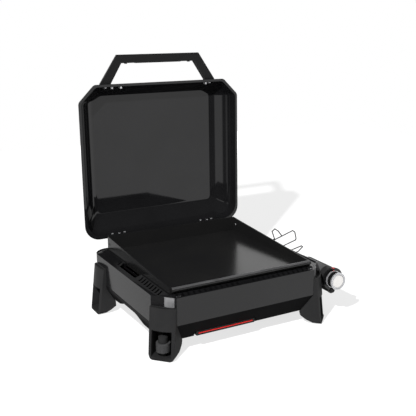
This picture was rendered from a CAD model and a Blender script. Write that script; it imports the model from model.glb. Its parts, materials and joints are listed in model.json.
# %% [markdown]
# # A tabletop griddle, dressed for the studio
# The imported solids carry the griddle's true sizes, its bodies and its joints.
# This lesson loads them, gives every surface a finish and softens their edges. It also models what
# a solid modeller draws too hard or leaves out: the lid's pressed sheet, and trim on the knob.
# Everything is in metres: +X to the cook's right, +Y from the front to the hinges, +Z up.

# %% Load the fixed frame
import json
import math

import bmesh
import bpy
from mathutils import Matrix, Vector


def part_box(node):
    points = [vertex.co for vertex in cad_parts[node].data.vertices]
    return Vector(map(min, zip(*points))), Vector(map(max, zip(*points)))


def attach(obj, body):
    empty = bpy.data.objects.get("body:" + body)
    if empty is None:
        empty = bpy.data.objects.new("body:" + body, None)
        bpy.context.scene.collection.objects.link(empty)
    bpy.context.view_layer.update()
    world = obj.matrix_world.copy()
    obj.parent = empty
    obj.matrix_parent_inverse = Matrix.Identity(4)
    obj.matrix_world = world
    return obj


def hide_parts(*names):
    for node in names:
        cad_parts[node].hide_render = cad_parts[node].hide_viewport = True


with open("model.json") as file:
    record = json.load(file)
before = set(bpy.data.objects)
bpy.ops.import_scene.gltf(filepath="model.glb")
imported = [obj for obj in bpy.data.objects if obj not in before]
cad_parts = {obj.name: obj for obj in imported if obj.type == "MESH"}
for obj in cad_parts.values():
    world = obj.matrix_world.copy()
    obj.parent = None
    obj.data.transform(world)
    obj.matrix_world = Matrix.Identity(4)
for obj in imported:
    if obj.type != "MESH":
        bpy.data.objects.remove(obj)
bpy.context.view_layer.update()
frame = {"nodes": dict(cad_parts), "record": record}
nodes = frame["nodes"]

# %% [markdown]
# ## Camera
# The photograph was taken from the griddle's front left, slightly above it. Fitting the long
# straight edges of the box, the plate and the lid gave the camera's place, heading, tilt and lens.
# A camera looks along its own -Z, so the heading turns about Z and the tilt about X.

# %% Camera at the photograph's viewing angle
CAMERA_PLACE = Vector((-1.004135, -1.755378, 0.84110))
CAMERA_HEADING = math.radians(-29.64)
CAMERA_TILT = math.radians(90 - 15.15)
CAMERA_ROLL = math.radians(0.11)
LENS_MM = 62.93
SENSOR_MM = 36.0
FAR_LIMIT = 200.0

camera_data = bpy.data.cameras.new("studio_camera")
camera_data.lens = LENS_MM
camera_data.sensor_width = SENSOR_MM
camera_data.clip_end = FAR_LIMIT
camera = bpy.data.objects.new("studio_camera", camera_data)
bpy.context.scene.collection.objects.link(camera)
turn = (Matrix.Rotation(CAMERA_HEADING, 4, "Z") @ Matrix.Rotation(CAMERA_TILT, 4, "X")
        @ Matrix.Rotation(CAMERA_ROLL, 4, "Z"))
camera.matrix_world = Matrix.Translation(CAMERA_PLACE) @ turn
bpy.context.scene.camera = camera
print("camera:", [round(v, 3) for v in CAMERA_PLACE], "lens", LENS_MM, "mm")

# %% [markdown]
# ## Node helpers
# Every finish below is a small graph of shader nodes. Two helpers keep the cells short: one adds
# a node with its inputs set by name, the other links two sockets. A third adds the reciprocal that
# turns a size in metres, which is easy to picture, into the scale that a noise texture wants.

# %% Helpers for shader graphs
def add(tree, kind, inputs=(), **settings):
    node = tree.nodes.new(kind)
    for name, value in settings.items():
        setattr(node, name, value)
    for name, value in dict(inputs).items():
        node.inputs[name].default_value = value
    return node


def wire(tree, source, output, target, socket):
    tree.links.new(source.outputs[output], target.inputs[socket])


def one_over(tree, source, output):
    node = add(tree, "ShaderNodeMath", {0: 1.0}, operation="DIVIDE")
    wire(tree, source, output, node, 1)
    return node


print("shader helpers ready")

# %% [markdown]
# ## Node groups
# An effect that several finishes share is built once, as a group with named inputs and outputs.
# The sockets are made on the group's interface, and each material then places the group with its
# own values. The shader itself stays in the material, where its constants sit on its own sockets.

# %% Helpers for groups
FLOAT = "NodeSocketFloat"
VECTOR = "NodeSocketVector"


def new_group(name, inputs, outputs):
    tree = bpy.data.node_groups.new(name, "ShaderNodeTree")
    for socket, kind, value in inputs:
        made = tree.interface.new_socket(socket, in_out="INPUT", socket_type=kind)
        made.default_value = value
    for socket, kind in outputs:
        tree.interface.new_socket(socket, in_out="OUTPUT", socket_type=kind)
    return tree, tree.nodes.new("NodeGroupInput"), tree.nodes.new("NodeGroupOutput")


def use_group(tree, group, inputs):
    node = tree.nodes.new("ShaderNodeGroup")
    node.node_tree = group
    for name, value in inputs.items():
        node.inputs[name].default_value = value
    return node


print("group helpers ready")

# %% [markdown]
# ## Shared effects
# Real finishes are never even. Three effects come back on most of this griddle's surfaces:
# a fine skin (the orange peel of enamel, the grain of a moulding), soft patches where hands and
# cloths have changed the gloss, and straight lines from rolling, drawing or turning metal.
# The skin is two noises of different scale, mixed: one alone looks like a regular pattern.

# %% Fine skin: a height for a Bump node, and a mask for colour
SECOND_GRAIN_SCALE = 3.1

skin_group, start, end = new_group(
    "surface_skin",
    [("Point", VECTOR, (0, 0, 0)), ("Grain Size", FLOAT, 0.001), ("Second Grain", FLOAT, 0.35)],
    [("Height", FLOAT), ("Mask", FLOAT)])
inverse = one_over(skin_group, start, "Grain Size")
coarse = add(skin_group, "ShaderNodeTexNoise", {"Detail": 2.0, "Roughness": 0.5})
fine = add(skin_group, "ShaderNodeTexNoise", {"Detail": 1.0, "Roughness": 0.6})
finer = add(skin_group, "ShaderNodeMath", {1: SECOND_GRAIN_SCALE}, operation="MULTIPLY")
wire(skin_group, inverse, 0, finer, 0)
for noise, scale in ((coarse, inverse), (fine, finer)):
    wire(skin_group, start, "Point", noise, "Vector")
    wire(skin_group, scale, 0, noise, "Scale")
grains = add(skin_group, "ShaderNodeMix", data_type="FLOAT")
wire(skin_group, start, "Second Grain", grains, "Factor")
wire(skin_group, coarse, "Fac", grains, "A")
wire(skin_group, fine, "Fac", grains, "B")
steep = add(skin_group, "ShaderNodeMapRange", {"From Min": 0.3, "From Max": 0.7})
wire(skin_group, grains, "Result", steep, "Value")
wire(skin_group, grains, "Result", end, "Height")
wire(skin_group, steep, "Result", end, "Mask")
print("group:", skin_group.name)

# %% [markdown]
# ## Handled patches
# Gloss changes slowly over a surface that is wiped and touched. A large, slightly distorted noise
# is steepened into patches, and the patches choose between a low and a high roughness.

# %% Handled patches: a slow change of gloss
patch_group, start, end = new_group(
    "handled_patches",
    [("Point", VECTOR, (0, 0, 0)), ("Patch Size", FLOAT, 0.12), ("Low", FLOAT, 0.2),
     ("High", FLOAT, 0.3)],
    [("Gloss", FLOAT), ("Patch", FLOAT)])
inverse = one_over(patch_group, start, "Patch Size")
cloud = add(patch_group, "ShaderNodeTexNoise",
            {"Detail": 4.0, "Roughness": 0.55, "Distortion": 0.6})
wire(patch_group, start, "Point", cloud, "Vector")
wire(patch_group, inverse, 0, cloud, "Scale")
spread = add(patch_group, "ShaderNodeMapRange", {"From Min": 0.32, "From Max": 0.68},
             interpolation_type="SMOOTHSTEP")
wire(patch_group, cloud, "Fac", spread, "Value")
gloss_mix = add(patch_group, "ShaderNodeMix", data_type="FLOAT")
wire(patch_group, spread, "Result", gloss_mix, "Factor")
wire(patch_group, start, "Low", gloss_mix, "A")
wire(patch_group, start, "High", gloss_mix, "B")
wire(patch_group, gloss_mix, "Result", end, "Gloss")
wire(patch_group, spread, "Result", end, "Patch")
print("group:", patch_group.name)

# %% [markdown]
# ## Straight lines
# Rolled, drawn and turned metal is marked in one direction. An anisotropic shader could smear the
# reflection, but real lines also show up close, so a noise is stretched: the point is multiplied
# by a small number along the lines, and the texture changes slowly that way.

# %% Straight lines: noise stretched along one direction
line_group, start, end = new_group(
    "straight_lines",
    [("Point", VECTOR, (0, 0, 0)), ("Stretch", VECTOR, (1, 1, 1)), ("Line Width", FLOAT, 0.0008)],
    [("Height", FLOAT), ("Lines", FLOAT)])
inverse = one_over(line_group, start, "Line Width")
squeeze = add(line_group, "ShaderNodeVectorMath", operation="MULTIPLY")
wire(line_group, start, "Point", squeeze, 0)
wire(line_group, start, "Stretch", squeeze, 1)
streak = add(line_group, "ShaderNodeTexNoise", {"Detail": 3.0, "Roughness": 0.6})
wire(line_group, squeeze, "Vector", streak, "Vector")
wire(line_group, inverse, 0, streak, "Scale")
sharp = add(line_group, "ShaderNodeMapRange", {"From Min": 0.35, "From Max": 0.65})
wire(line_group, streak, "Fac", sharp, "Value")
wire(line_group, streak, "Fac", end, "Height")
wire(line_group, sharp, "Result", end, "Lines")
print("group:", line_group.name)

# %% [markdown]
# ## What all finishes share
# Each finish is a Principled shader whose colour moves between two close tones, because a
# perfectly even black looks like a hole in the picture. Its patterns read Object coordinates, in
# metres, so a grain has its real size on every piece.

# %% A new material, two tones and a bump
def new_finish(name, colour):
    material = bpy.data.materials.new(name)
    material.use_nodes = True
    material.diffuse_color = (*colour, 1.0)
    tree = material.node_tree
    shader = tree.nodes["Principled BSDF"]
    shader.inputs["Base Color"].default_value = (*colour, 1.0)
    return material, tree, shader


def two_tones(tree, shader, first, second):
    tint = add(tree, "ShaderNodeMix", {"A": (*first, 1.0), "B": (*second, 1.0)}, data_type="RGBA")
    wire(tree, tint, "Result", shader, "Base Color")
    return tint


def add_bump(tree, shader, source, output, strength, distance):
    bump = add(tree, "ShaderNodeBump", {"Strength": strength, "Distance": distance})
    wire(tree, source, output, bump, "Height")
    wire(tree, bump, "Normal", shader, "Normal")


finishes = {}
print("finish helpers ready")

# %% [markdown]
# ## A recipe for coated surfaces
# Enamel, powder paint and moulded nylon differ mostly in a few numbers: their colour, their
# gloss, and the size and depth of their skin. They could be separate graphs, but one function
# keeps them alike, and each finish calls it with its own values. All lengths are in metres: grain
# is the skin's size, depth is its height, and patch is how wide the handled patches are.

# %% Recipe for a coated finish
DEFAULT_SPECULAR = 0.5


def coated(key, name, colour, worn, gloss, grain, depth, patch, strength=0.5,
           specular=DEFAULT_SPECULAR):
    material, tree, shader = new_finish(name, colour)
    point = add(tree, "ShaderNodeTexCoord")
    patches = use_group(tree, patch_group,
                        {"Patch Size": patch, "Low": gloss[0], "High": gloss[1]})
    skin = use_group(tree, skin_group, {"Grain Size": grain})
    for group in (patches, skin):
        wire(tree, point, "Object", group, "Point")
    tint = two_tones(tree, shader, colour, worn)
    blend = add(tree, "ShaderNodeMath", operation="MULTIPLY")
    wire(tree, patches, "Patch", blend, 0)
    wire(tree, skin, "Mask", blend, 1)
    wire(tree, blend, 0, tint, "Factor")
    wire(tree, patches, "Gloss", shader, "Roughness")
    shader.inputs["Specular IOR Level"].default_value = specular
    add_bump(tree, shader, skin, "Height", strength, depth)
    finishes[key] = material


print("coated recipe ready, specular level", DEFAULT_SPECULAR, "unless a finish says otherwise")

# %% [markdown]
# ## The coated finishes
# Enamel covers the lid and the top frame and is nearly a mirror, the box's paint is satin, and the
# lower pan's is dull. Feet and housings are grained nylon; the handle's is darker and the
# levelling wheel's is greyer. The knob, the red trim and the pale inlay are smooth mouldings, and
# the control bracket is painted grey. Dull surfaces also get a lower specular level.

# %% Coated finishes
coated("enamel", "black_enamel", (0.004, 0.004, 0.0043), (0.007, 0.007, 0.0075),
       gloss=(0.03, 0.05), grain=0.004, depth=0.000008, patch=0.2, strength=0.25)
coated("box_paint", "satin_box_paint", (0.006, 0.006, 0.0063), (0.009, 0.009, 0.0094),
       gloss=(0.12, 0.17), grain=0.0012, depth=0.000006, patch=0.16, strength=0.25, specular=0.45)
coated("pan_paint", "dull_pan_paint", (0.004, 0.004, 0.0042), (0.007, 0.007, 0.0073),
       gloss=(0.42, 0.52), grain=0.0008, depth=0.00005, patch=0.12, specular=0.16)
coated("black_plastic", "grained_black_nylon", (0.014, 0.014, 0.0143), (0.019, 0.019, 0.0194),
       gloss=(0.42, 0.52), grain=0.0006, depth=0.00005, patch=0.05, specular=0.22)
coated("handle_nylon", "grained_handle_nylon", (0.007, 0.007, 0.0072), (0.010, 0.010, 0.0103),
       gloss=(0.42, 0.52), grain=0.0006, depth=0.00005, patch=0.05, specular=0.22)
coated("grey_nylon", "moulded_grey_nylon", (0.035, 0.035, 0.036), (0.045, 0.045, 0.046),
       gloss=(0.36, 0.44), grain=0.0006, depth=0.00004, patch=0.03)
coated("gloss_black", "gloss_black_moulding", (0.004, 0.004, 0.0042), (0.008, 0.008, 0.0084),
       gloss=(0.14, 0.22), grain=0.002, depth=0.00002, patch=0.03)
coated("grey_paint", "satin_grey_paint", (0.10, 0.10, 0.102), (0.13, 0.13, 0.132),
       gloss=(0.34, 0.42), grain=0.0006, depth=0.00004, patch=0.04)
coated("red", "gloss_red_moulding", (0.46, 0.010, 0.008), (0.40, 0.008, 0.007),
       gloss=(0.24, 0.32), grain=0.0015, depth=0.00002, patch=0.03)
coated("white", "off_white_inlay", (0.66, 0.645, 0.63), (0.61, 0.595, 0.58),
       gloss=(0.22, 0.32), grain=0.0012, depth=0.00002, patch=0.012)
print("coated finishes:", len(finishes))

# %% [markdown]
# ## A recipe for metal
# Metal shows how it was made: rolling, drawing and turning leave fine lines. The recipe lets these
# lines raise the roughness a little and feed the bump, and lets the patches move the colour
# between two tones. The small number in each stretch names the direction that the lines run in.

# %% Recipe for a metal finish
LINE_ROUGHNESS = 0.06


def metal(key, name, colour, second, gloss, stretch, width, depth, metallic=1.0, patch=0.05,
          strength=0.4):
    material, tree, shader = new_finish(name, colour)
    shader.inputs["Metallic"].default_value = metallic
    point = add(tree, "ShaderNodeTexCoord")
    patches = use_group(tree, patch_group,
                        {"Patch Size": patch, "Low": gloss[0], "High": gloss[1]})
    lines = use_group(tree, line_group, {"Stretch": stretch, "Line Width": width})
    for group in (patches, lines):
        wire(tree, point, "Object", group, "Point")
    tint = two_tones(tree, shader, colour, second)
    wire(tree, patches, "Patch", tint, "Factor")
    drier = add(tree, "ShaderNodeMath", {1: LINE_ROUGHNESS}, operation="MULTIPLY")
    rough = add(tree, "ShaderNodeMath", operation="ADD")
    wire(tree, lines, "Lines", drier, 0)
    wire(tree, drier, 0, rough, 0)
    wire(tree, patches, "Gloss", rough, 1)
    wire(tree, rough, 0, shader, "Roughness")
    add_bump(tree, shader, lines, "Height", strength, depth)
    finishes[key] = material


print("metal recipe ready, lines add up to", LINE_ROUGHNESS, "of roughness")

# %% [markdown]
# ## The metal finishes
# The plate is rolled carbon steel, darkened by its first seasoning, so it keeps the fine straight
# lines of the mill and a soft sheen. Zinc plate is paler and slightly cloudy, chrome is nearly a
# mirror, and the burner's stainless tube takes on a little straw colour from its flames.
# Metallic is 0 on the plate, its rubbed lip and the straps: there the eye sees a dark film or a
# blasted skin, and a plain reflection over a dark base comes closer to it than a clean metal does.

# %% Metal finishes
metal("plate_steel", "seasoned_rolled_steel", (0.006, 0.006, 0.0062), (0.008, 0.0079, 0.0077),
      gloss=(0.15, 0.17), stretch=(1.0, 0.02, 1.0), width=0.0012, depth=0.0000006, metallic=0.0,
      patch=0.3, strength=0.1)
metal("zinc_steel", "zinc_plate", (0.52, 0.53, 0.55), (0.42, 0.43, 0.45),
      gloss=(0.24, 0.36), stretch=(1.0, 0.05, 1.0), width=0.0009, depth=0.00003)
metal("burner_steel", "stainless_tube", (0.50, 0.47, 0.42), (0.30, 0.25, 0.20),
      gloss=(0.2, 0.34), stretch=(0.04, 1.0, 1.0), width=0.0008, depth=0.00002)
metal("chrome", "bright_chrome", (0.78, 0.78, 0.80), (0.70, 0.70, 0.72),
      gloss=(0.16, 0.26), stretch=(1.0, 0.1, 1.0), width=0.0008, depth=0.00001, metallic=0.78,
      patch=0.02)
metal("strap_steel", "blasted_strap", (0.16, 0.16, 0.163), (0.10, 0.10, 0.103),
      gloss=(0.36, 0.46), stretch=(1.0, 1.0, 0.1), width=0.0008, depth=0.00002, metallic=0.0,
      patch=0.02)
metal("worn_edge", "rubbed_steel_edge", (0.062, 0.062, 0.064), (0.038, 0.038, 0.039),
      gloss=(0.26, 0.36), stretch=(0.05, 1.0, 1.0), width=0.0012, depth=0.000004, metallic=0.0,
      patch=0.09, strength=0.2)
metal("dark_wire", "drawn_wire", (0.16, 0.16, 0.165), (0.11, 0.11, 0.115),
      gloss=(0.22, 0.32), stretch=(1.0, 0.1, 1.0), width=0.0008, depth=0.00001, patch=0.02)
metal("brass", "turned_brass", (0.62, 0.46, 0.19), (0.50, 0.35, 0.14),
      gloss=(0.2, 0.32), stretch=(1.0, 0.05, 1.0), width=0.0006, depth=0.00002, patch=0.02)
print("finishes:", sorted(finishes))

# %% [markdown]
# ## Finishes on the solids
# The record names a material slot for every solid, so the quickest way to dress the frame is to
# follow it: each solid takes the finish of its slot. A few pieces share a slot with others but
# look different in the photograph, so these name a finish of their own.

# %% Dress every solid by its slot
slot_of = {row["node"]: row["material_slot"] for row in frame["record"]["subparts"]}
body_of = {node: body for body, names in frame["record"]["behaviour"]["bodies"].items()
           for node in names}
OWN_FINISH = {"lower_pan": "pan_paint", "wire_rack": "dark_wire", "corner_straps": "strap_steel",
              "wheel_front_left": "grey_nylon", "lid_handle": "handle_nylon"}
finish_of = {**slot_of, **OWN_FINISH}
for name, solid in nodes.items():
    solid.data.materials.clear()
    solid.data.materials.append(finishes[finish_of[name]])

# %% [markdown]
# ## From a bmesh to a piece
# Two helpers serve every new piece. The first writes a bmesh into an object and smooths it by
# angle, so that a cylinder has no visible facets and an edge stays an edge. The second places the
# piece on its body. It also adds a Weighted Normal modifier, which lets the large faces rule the
# shading, so the light doesn't bend across a flat face next to a narrow bevel.

# %% Helpers for pieces
SHARP_DEGREES = 32.0


def make_object(build, name, sharp_degrees=SHARP_DEGREES):
    mesh = bpy.data.meshes.new(name)
    build.to_mesh(mesh)
    build.free()
    mesh.shade_smooth()
    mesh.set_sharp_from_angle(angle=math.radians(sharp_degrees))
    return bpy.data.objects.new(name, mesh)


def place_piece(piece, body, finish):
    bpy.context.scene.collection.objects.link(piece)
    piece.data.materials.append(finishes[finish])
    even = piece.modifiers.new("even_shading", "WEIGHTED_NORMAL")
    even.mode = "FACE_AREA"
    even.keep_sharp = True
    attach(piece, body)
    return piece


print("piece helpers ready")

# %% [markdown]
# ## Softened solids
# A solid modeller leaves knife edges, and its triangles are loose. Sheet, mouldings and turned
# metal all have a small radius, and it is that radius that catches the light. So each solid is
# copied, its loose triangles are merged, its flat faces are joined again, and its sharp edges get
# a narrow bevel. A Bevel modifier could do the last part, but it needs the merged faces first, so
# one bmesh does it all. The drawer's red strip is also made slimmer, about its middle height.

# %% Bevel some edges of a bmesh
BEVEL_SEGMENTS = 2


def bevel_edges(build, edges, width):
    bmesh.ops.bevel(build, geom=edges, offset=width, offset_type="OFFSET",
                    segments=BEVEL_SEGMENTS, profile=0.5, affect="EDGES", clamp_overlap=True,
                    material=-1)


print("bevels have", BEVEL_SEGMENTS, "segments")

# %% Merge and bevel a copy of a solid
MERGE_DISTANCE = 0.00002
FLAT_DEGREES = 0.6
THINNED = {"drawer_strip": 0.55}


def soften(node, width):
    build = bmesh.new()
    build.from_mesh(nodes[node].data)
    bmesh.ops.remove_doubles(build, verts=build.verts, dist=MERGE_DISTANCE)
    if node in THINNED:
        middle = (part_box(node)[0][2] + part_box(node)[1][2]) / 2
        bmesh.ops.transform(build, matrix=Matrix.Diagonal((1.0, 1.0, THINNED[node], 1.0)),
                            space=Matrix.Translation((0, 0, -middle)), verts=build.verts)
    bmesh.ops.dissolve_limit(build, angle_limit=math.radians(FLAT_DEGREES), verts=build.verts,
                             edges=build.edges)
    if width:
        limit = math.radians(SHARP_DEGREES)
        bevel_edges(build, [edge for edge in build.edges if len(edge.link_faces) == 2
                            and edge.calc_face_angle(0.0) > limit], width)
    bmesh.ops.recalc_face_normals(build, faces=build.faces)
    piece = make_object(build, node + "_finished")
    place_piece(piece, body_of[node], finish_of[node])
    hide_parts(node)
    return piece


print("ready to soften")

# %% [markdown]
# ## How soft each edge is
# Mouldings get a wider bevel than sheet and screws do. A width of 0 leaves a piece as the solid
# drew it: tubes and wire are round already, and the others are thin sheet or lie in the box.

# %% Soften every solid but the lid
EDGE_WIDTHS = {
    "foot_front_left": 0.0012, "foot_front_right": 0.0012, "foot_rear_left": 0.0012,
    "foot_rear_right": 0.0012, "lid_handle": 0.0012, "cook_box": 0.0005, "lower_pan": 0.0005,
    "top_frame": 0.0004, "corner_straps": 0.0004, "griddle_plate": 0.0006,
    "drawer_front": 0.001, "drawer_strip": 0.0004, "drawer_frame": 0.0003, "catch_pan": 0.0,
    "knob_body": 0.0004, "knob_rings": 0.0006, "knob_face": 0.0006, "control_housing": 0.001,
    "control_bezel": 0.0008, "control_bracket": 0.0006, "bezel_mark": 0.0003,
    "igniter_button": 0.0008, "regulator": 0.0012, "wheel_front_left": 0.0003,
    "screw_front_left": 0.0004, "wire_rack": 0.0, "rack_clips": 0.0005,
    "hinge_brackets": 0.0004, "hinge_pins": 0.0003, "hinge_leaves": 0.0004,
    "hinge_leaf_screws": 0.0004, "hinge_bracket_screws": 0.0004, "handle_screws": 0.0004,
    "lid_clips": 0.0004, "plate_locators": 0.0004, "plate_rests": 0.0, "burner_tube": 0.0,
    "foot_screws": 0.0003, "valve_stem": 0.0004, "supply_pipe": 0.0, "drawer_rails": 0.0,
    "heat_shield": 0.0, "burner_brackets": 0.0, "gas_valve": 0.0005, "spark_module": 0.001,
    "spark_electrode": 0.0,
}
softened = {node: soften(node, width) for node, width in EDGE_WIDTHS.items()}
print("softened:", len(softened), "solids")

# %% [markdown]
# ## The plate's rubbed lip
# The rolled lip at the front of the plate is where scrapers and cloths pass, so its seasoning is
# rubbed thin and it shines pale. A mask in the material could find it, but a second material on
# the roll's upper faces is simpler, and each face is chosen by where it lies and how it points.

# %% Second finish on the front roll
LIP_DEPTH = 0.0098
UPWARD = 0.5
SIDEWAYS = 0.8

plate = softened["griddle_plate"]
plate.data.materials.append(finishes["worn_edge"])
lip_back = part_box("griddle_plate")[0][1] + LIP_DEPTH
rubbed = [face for face in plate.data.polygons if face.center.y < lip_back
          and face.normal.z > UPWARD and abs(face.normal.x) < SIDEWAYS]
for face in rubbed:
    face.material_index = 1
print("rubbed faces:", len(rubbed))

# %% [markdown]
# ## The knob's inlay
# The knob ends in a bright ring with a smaller pale inlay in its middle. The solid's face fills
# the whole end. A new disc could take its place, but it has the right thickness already, so its
# copy is drawn in towards the knob's axis, and the ring takes the room that this leaves.

# %% Draw the inlay in
MM_PER_METRE = 1000
INLAY_SHARE = 0.80

face_low, face_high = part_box("knob_face")
knob_axis = Vector(((face_low[0] + face_high[0]) / 2, face_low[1],
                    (face_low[2] + face_high[2]) / 2))
face_radius = (face_high[0] - face_low[0]) / 2
inlay_radius = face_radius * INLAY_SHARE
draw_in = Matrix.Diagonal((INLAY_SHARE, 1.0, INLAY_SHARE, 1.0))
softened["knob_face"].data.transform(
    Matrix.Translation(knob_axis) @ draw_in @ Matrix.Translation(-knob_axis))
print("inlay radius:", round(inlay_radius * MM_PER_METRE, 1), "mm")

# %% [markdown]
# ## The knob's front ring
# A torus would look too round for this ring, which is low and flat-sided. So its own section is
# drawn, a small dome with a straight back, and spun once about the knob's axis. Depth is counted
# from the knob's face into the knob, so a negative depth stands proud of it.

# %% Spin the front ring
RING_GAP = 0.0001
RING_BACK = 0.0036
RING_EDGE = 0.0004
RING_CORNER = 0.0006
RING_SHOULDER = -0.0002
RING_CROWN = -0.0006
RING_STEPS = 96
RING_MERGE = 0.000005

inner, outer = inlay_radius + RING_GAP, face_radius + RING_GAP
section = [(inner, RING_BACK), (inner, RING_EDGE), (inner + RING_CORNER, RING_SHOULDER),
           ((inner + outer) / 2, RING_CROWN), (outer - RING_CORNER, RING_SHOULDER),
           (outer, RING_EDGE), (outer, RING_BACK)]
ring = bmesh.new()
rim = [ring.verts.new(knob_axis + Vector((radius, depth, 0.0))) for radius, depth in section]
rim_edges = [ring.edges.new(pair) for pair in zip(rim, rim[1:] + rim[:1])]
bmesh.ops.spin(ring, geom=rim + rim_edges, cent=knob_axis, axis=(0, 1, 0), angle=math.tau,
               steps=RING_STEPS, use_merge=True)
bmesh.ops.remove_doubles(ring, verts=ring.verts, dist=RING_MERGE)
bmesh.ops.recalc_face_normals(ring, faces=ring.faces)
front_ring = place_piece(make_object(ring, "knob_front_ring"), body_of["knob_face"], "chrome")
print("front ring:", len(front_ring.data.polygons), "faces")

# %% [markdown]
# ## The knob's pointer marks
# Two small red marks on the knob's rings show where it points. Colour in the material could draw
# them, but a small block has an edge that catches the light. Each starts as a cube, is scaled and
# bevelled, and is then turned and moved to its place on the rings.

# %% Red marks on the rings
MARK_SIZE = (0.0016, 0.0036, 0.0034)
MARK_BEVEL = 0.0005
MARK_SINK = 0.0004

rings_low, rings_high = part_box("knob_rings")
mark_radius = (rings_high[0] - rings_low[0]) / 2 - MARK_SINK
# Each mark's angle about the knob's axis in degrees, and its place along that axis.
MARKS = [("knob_top_mark", 90.0, rings_high[1] - 0.003),
         ("knob_low_mark", -52.0, rings_low[1] + 0.0025)]
for name, degrees, depth in MARKS:
    mark = bmesh.new()
    bmesh.ops.create_cube(mark, size=1.0)
    bmesh.ops.scale(mark, vec=MARK_SIZE, verts=mark.verts)
    bevel_edges(mark, mark.edges, MARK_BEVEL)
    angle = math.radians(degrees)
    spot = Vector((knob_axis.x + mark_radius * math.cos(angle), depth,
                   knob_axis.z + mark_radius * math.sin(angle)))
    bmesh.ops.transform(mark, matrix=Matrix.Translation(spot) @ Matrix.Rotation(-angle, 4, "Y"),
                        verts=mark.verts)
    place_piece(make_object(mark, name), body_of["knob_rings"], "red")
    print("mark:", name, "at", [round(v, 4) for v in spot])

# %% [markdown]
# ## The drawn lid
# The lid is one sheet, pressed deep, so it has no hard corner anywhere: its wall leaves a flat
# turned rim, climbs almost straight, then rolls over a wide shoulder into the panel. A subdivided
# box would round the cut corners away, so the lid is lofted from outlines instead. They are given
# in millimetres, as the lid lies closed. Each row of the wall has a height, then how far the
# outline has moved in at the sides, the front and the back. The rows are eased into finer ones.

# %% The lid's rows
SHEET = 1.8
LID_DEPTH = 70
PANEL_EDGE = (69, 40, 64)
LID_ROWS = [(0, 6, 5, 5), (22, 10, 7, 5), (38, 18, 12, 11), (50, 30, 19, 22), (61, 45, 27, 38),
            (68, 58, 33.5, 53), (LID_DEPTH, 65, 36, 60)]
RIM_HEIGHT = 4.0
TURNED_RIM = [(RIM_HEIGHT, 8, 8, 8), (0.6, 8, 8, 8), (0.0, 7.4, 7.4, 7.4), (0.0, 0.6, 0.6, 0.6),
              (0.6, 0, 0, 0), (3.4, 0, 0, 0), (RIM_HEIGHT, 0.6, 0.6, 0.6)]
STEPS_PER_ROW = 5


def eased_rows(rows, steps):
    last = len(rows) - 1
    finer_rows = []
    for index in range(last):
        near = [rows[max(0, min(last, index + k))] for k in (-1, 0, 1, 2)]
        for step in range(steps):
            t = step / steps
            finer_rows.append(tuple(
                0.5 * (2 * b + (c - a) * t + (2 * a - 5 * b + 4 * c - d) * t ** 2
                       + (3 * b - a - 3 * c + d) * t ** 3) for a, b, c, d in zip(*near)))
    return finer_rows + [rows[-1]]


wall = [row for row in eased_rows(LID_ROWS, STEPS_PER_ROW) if row[0] > RIM_HEIGHT]
print("wall rows:", len(wall))

# %% [markdown]
# ## One outline of the lid
# Seen from above, the lid has two cut front corners and two round rear ones. The cuts and the
# rear radius shrink as the outline moves in over the shoulder. Every outline has the same number
# of points, so that each can grow from the one before. The four corners of the cuts are softened
# first, each by a short curve between the two edges that meet there.

# %% A softened corner
CORNER_REACH, CORNER_PARTS = 7.0, 4


def rounded_corner(before, corner, after):
    first = corner + (before - corner).normalized() * CORNER_REACH
    last = corner + (after - corner).normalized() * CORNER_REACH
    return [first.lerp(corner, t).lerp(corner.lerp(last, t), t)
            for t in (step / CORNER_PARTS for step in range(CORNER_PARTS + 1))]


print("a corner takes", CORNER_PARTS + 1, "points")

# %% The outline at one height
LID_WIDTH, LID_FRONT, LID_BACK, LID_RIM = 527.9, -231.65, 224.85, 164.3
CUT_X, CUT_X_LOSS = 49.4, 22
CUT_Y, CUT_Y_LOSS = 48.9, 34
CUT_PER_INSET = 0.6
SHOULDER_END = 65.0
REAR_RADIUS, REAR_RADIUS_LOSS, REAR_LOSS_START = 45.0, 30.0, 12.0
REAR_PARTS = 8


def lid_outline(height, side, front, back, inset):
    share = max(side, 0.0) / SHOULDER_END
    cut_x = CUT_X - CUT_X_LOSS * share - inset * CUT_PER_INSET
    cut_y = CUT_Y - CUT_Y_LOSS * share - inset * CUT_PER_INSET
    half = LID_WIDTH / 2 - side - inset
    low, high = LID_FRONT + front + inset, LID_BACK - back - inset
    radius = (REAR_RADIUS - REAR_RADIUS_LOSS * max(side - REAR_LOSS_START, 0.0)
              / (SHOULDER_END - REAR_LOSS_START) - inset)
    ends = [Vector((-half, high - radius)), Vector((-half, low + cut_y)),
            Vector((-half + cut_x, low)), Vector((half - cut_x, low)),
            Vector((half, low + cut_y)), Vector((half, high - radius))]
    points = []
    for trio in zip(ends, ends[1:], ends[2:]):
        points += rounded_corner(*trio)
    for side_sign, first_degrees in ((1, 0), (-1, 90)):
        centre = Vector((side_sign * (half - radius), high - radius))
        for step in range(REAR_PARTS + 1):
            angle = math.radians(first_degrees + 90 * step / REAR_PARTS)
            points.append(centre + radius * Vector((math.cos(angle), math.sin(angle))))
    return [Vector((p.x, p.y, LID_RIM + height)) for p in points]


print("points in an outline:", len(lid_outline(0, 0, 0, 0, 0)))

# %% [markdown]
# ## All outlines in a row
# A Solidify modifier could give the sheet its thickness, but it would also thicken the turned rim.
# So the outlines run once round the sheet: the inside comes first, from the panel down to the rim,
# then the rim, then the outside back up to the top.

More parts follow.
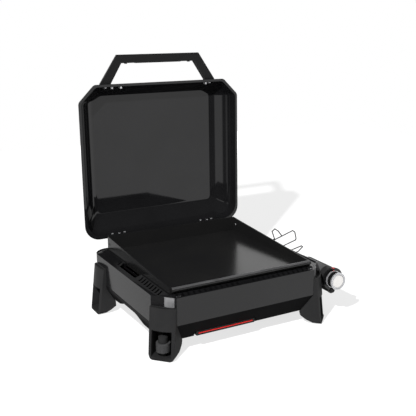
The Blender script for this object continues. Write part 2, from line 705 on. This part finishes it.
# %% Inside, rim and outside
outlines = [lid_outline(LID_DEPTH - SHEET, *PANEL_EDGE, SHEET)]
outlines += [lid_outline(min(height, LID_DEPTH) - SHEET, *moved_in, SHEET)
             for height, *moved_in in reversed(wall)]
outlines += [lid_outline(*row, 0) for row in TURNED_RIM]
outlines += [lid_outline(min(height, LID_DEPTH), *moved_in, 0) for height, *moved_in in wall]
outlines.append(lid_outline(LID_DEPTH, *PANEL_EDGE, 0))
print("outlines:", len(outlines), "of", len(outlines[0]), "points")

# %% [markdown]
# ## Loft the lid
# The first outline is closed with a face. Its edge ring is then extruded once for each following
# outline, and the fresh points are moved to their new places. The last ring is closed as well, so
# the sheet is one closed form with its real thickness.

# %% Extrude from outline to outline
PLACE_DIGITS = 4

lid = bmesh.new()
ring = [lid.verts.new(point) for point in outlines[0]]
edges = [lid.edges.new(pair) for pair in zip(ring, ring[1:] + ring[:1])]
bmesh.ops.contextual_create(lid, geom=edges)
for outline in outlines[1:]:
    grown = bmesh.ops.extrude_edge_only(lid, edges=edges)["geom"]
    edges = [item for item in grown if isinstance(item, bmesh.types.BMEdge)]
    by_place = {item.co.to_tuple(PLACE_DIGITS): item for item in grown
                if isinstance(item, bmesh.types.BMVert)}
    ring = [by_place[old.co.to_tuple(PLACE_DIGITS)] for old in ring]
    for vertex, point in zip(ring, outline):
        vertex.co = point
bmesh.ops.contextual_create(lid, geom=edges)
print("lid:", len(lid.verts), "points,", len(lid.faces), "faces")

# %% [markdown]
# ## Open the lid
# The lid is lofted closed, as it comes from the press, and in the frame of its drawing. It is
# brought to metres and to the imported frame, and turned about the hinge to the open pose that the
# photograph shows, which is the rest pose of the solids.

# %% Turn the lid about its hinge
DRAWING_SHIFT = Vector((-0.038735, -0.0456775, 0.0))
HINGE = Vector((-0.038735, 0.2007725, 0.1597))
LID_OPEN = math.radians(-91.9)
LID_SHARP_DEGREES = 40.0

for vertex in lid.verts:
    vertex.co = vertex.co / MM_PER_METRE + DRAWING_SHIFT
open_lid = (Matrix.Translation(HINGE) @ Matrix.Rotation(LID_OPEN, 4, "X")
            @ Matrix.Translation(-HINGE))
bmesh.ops.transform(lid, matrix=open_lid, verts=lid.verts)
bmesh.ops.recalc_face_normals(lid, faces=lid.faces)
lid_piece = place_piece(make_object(lid, "lid_pressing", LID_SHARP_DEGREES), "lid", "enamel")
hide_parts("lid_shell")
print("lid opened by", round(-math.degrees(LID_OPEN), 1), "degrees")

# %% [markdown]
# ## Studio floor
# A catalogue picture stands on white paper that fades into a white background. Light alone would
# leave a grey border, so the floor glows by itself, and more towards its edge, where it meets the
# background. Glossy surfaces don't see the floor: they reflect the surround, which comes next.

# %% Floor sheet
FLOOR_HALF = 2.7

floor_mesh = bpy.data.meshes.new("studio_floor")
sweep = bmesh.new()
bmesh.ops.create_grid(sweep, x_segments=1, y_segments=1, size=FLOOR_HALF)
sweep.to_mesh(floor_mesh)
sweep.free()
floor = bpy.data.objects.new("studio_floor", floor_mesh)
bpy.context.scene.collection.objects.link(floor)
floor.visible_glossy = False
print("floor:", 2 * FLOOR_HALF, "m across")

# %% Glowing white paper
FADE_START, FADE_END = 1.9, 2.6
GLOW_NEAR, GLOW_FAR = 0.735, 1.1
WHITE = (1.0, 1.0, 1.0, 1.0)

floor_finish, floor_tree, floor_shader = new_finish("studio_white", (0.3, 0.3, 0.3))
floor_shader.inputs["Roughness"].default_value = 1.0
floor_shader.inputs["Specular IOR Level"].default_value = 0.0
floor_shader.inputs["Emission Color"].default_value = WHITE
floor_point = add(floor_tree, "ShaderNodeTexCoord")
away = add(floor_tree, "ShaderNodeVectorMath", operation="LENGTH")
wire(floor_tree, floor_point, "Object", away, "Vector")
glow = add(floor_tree, "ShaderNodeMapRange", {"From Min": FADE_START, "From Max": FADE_END,
                                              "To Min": GLOW_NEAR, "To Max": GLOW_FAR})
wire(floor_tree, away, "Value", glow, "Value")
wire(floor_tree, glow, "Result", floor_shader, "Emission Strength")
floor_mesh.materials.append(floor_finish)
print("glow:", GLOW_NEAR, "near the griddle,", GLOW_FAR, "at the edge")

# %% [markdown]
# ## Surround
# The camera sees a white surround, and rough surfaces get a part of its light. The black finishes
# show almost no colour of their own: what the eye reads on them is what they reflect. In an even
# white room they would all turn the same grey, so reflections see a dark room with soft panels
# instead, placed for the bands that they draw. Light Path tells the kinds of ray apart.

# %% The surround's directions
DIFFUSE_LEVEL = 0.35

world = bpy.data.worlds.new("studio_surround")
world.use_nodes = True
surround = world.node_tree
background = surround.nodes["Background"]
background.inputs["Color"].default_value = WHITE
ray_kind = add(surround, "ShaderNodeLightPath")
dimmed = add(surround, "ShaderNodeMapRange", {"To Min": 1.0, "To Max": DIFFUSE_LEVEL})
wire(surround, ray_kind, "Is Diffuse Ray", dimmed, "Value")
direction = add(surround, "ShaderNodeTexCoord")
level_direction = add(surround, "ShaderNodeVectorMath", {1: (1.0, 1.0, 0.0)},
                      operation="MULTIPLY")
wire(surround, direction, "Generated", level_direction, 0)
compass = add(surround, "ShaderNodeVectorMath", operation="NORMALIZE")
wire(surround, level_direction, "Vector", compass, 0)
split = add(surround, "ShaderNodeSeparateXYZ")
wire(surround, direction, "Generated", split, "Vector")
print("surround:", world.name)

# %% [markdown]
# ## Soft panels
# A panel covers a range of headings and a range of heights, and fades at its border. Heading 0 is
# in front of the griddle, and it grows towards the cook's right. Height is the upward part of the
# direction, from -1 to 1. Where panels overlap, the brighter one counts.

# %% One soft panel
PANEL_FADE_DEGREES = 4
PANEL_FADE_HEIGHT = 0.07


def soft_panel(heading, half_width, height, half_height, level):
    facing = (math.sin(math.radians(heading)), -math.cos(math.radians(heading)), 0.0)
    across = add(surround, "ShaderNodeVectorMath", {1: facing}, operation="DOT_PRODUCT")
    wire(surround, compass, "Vector", across, 0)
    inside = add(surround, "ShaderNodeMapRange", {
        "From Min": math.cos(math.radians(half_width + PANEL_FADE_DEGREES)),
        "From Max": math.cos(math.radians(half_width))})
    wire(surround, across, "Value", inside, "Value")
    offset = add(surround, "ShaderNodeMath", {1: height}, operation="SUBTRACT")
    wire(surround, split, "Z", offset, 0)
    upright = add(surround, "ShaderNodeMath", operation="ABSOLUTE")
    wire(surround, offset, 0, upright, 0)
    within = add(surround, "ShaderNodeMapRange", {
        "From Min": half_height, "From Max": half_height + PANEL_FADE_HEIGHT,
        "To Min": level, "To Max": 0.0})
    wire(surround, upright, 0, within, "Value")
    panel = add(surround, "ShaderNodeMath", operation="MULTIPLY")
    wire(surround, inside, "Result", panel, 0)
    wire(surround, within, "Result", panel, 1)
    return panel


print("panel borders fade over", PANEL_FADE_DEGREES, "degrees")

# %% Panels that only reflections see
DARK_ROOM = 0.06
# Heading and half width in degrees, then height, half height and brightness.
PANELS = [(48, 30, -0.22, 0.24, 0.92), (-42, 8, -0.20, 0.20, 0.8), (150, 24, 0.20, 0.30, 0.9),
          (183, 25, 0.02, 0.45, 0.62), (232, 22, -0.05, 0.35, 0.35), (104, 16, -0.15, 0.25, 0.5),
          (-88, 14, -0.2, 0.3, 0.4)]

room = add(surround, "ShaderNodeMath", {0: DARK_ROOM, 1: 0.0}, operation="ADD")
for values in PANELS:
    brighter = add(surround, "ShaderNodeMath", operation="MAXIMUM")
    wire(surround, room, 0, brighter, 0)
    wire(surround, soft_panel(*values), 0, brighter, 1)
    room = brighter
strength = add(surround, "ShaderNodeMix", data_type="FLOAT")
wire(surround, ray_kind, "Is Glossy Ray", strength, "Factor")
wire(surround, dimmed, "Result", strength, "A")
wire(surround, room, 0, strength, "B")
wire(surround, strength, "Result", background, "Strength")
bpy.context.scene.world = world
print("panels:", len(PANELS))

# %% [markdown]
# ## Key light
# One small light from the front left throws the pale shadow that falls behind the griddle to its
# right. A large lamp would blur that shadow away, so this one is small. It stands where the
# shadows of the lid and the handle fall about as in the photograph. Its falloff is constant, so
# its light doesn't fade over the object's length, and glossy surfaces don't see it.

# %% Key light and view transform
KEY_POWER = 66.0
KEY_RADIUS = 0.04
KEY_PLACE = (-1.44, -1.25, 1.80)

key_data = bpy.data.lights.new("key_light", "POINT")
key_data.energy = KEY_POWER
key_data.shadow_soft_size = KEY_RADIUS
key_data.use_nodes = True
falloff = add(key_data.node_tree, "ShaderNodeLightFalloff", {"Strength": 1.0})
wire(key_data.node_tree, falloff, "Constant", key_data.node_tree.nodes["Emission"], "Strength")
key = bpy.data.objects.new("key_light", key_data)
bpy.context.scene.collection.objects.link(key)
key.location = KEY_PLACE
key.visible_glossy = False
bpy.context.scene.view_settings.view_transform = "Standard"
print("key light:", KEY_POWER, "W at", KEY_PLACE)
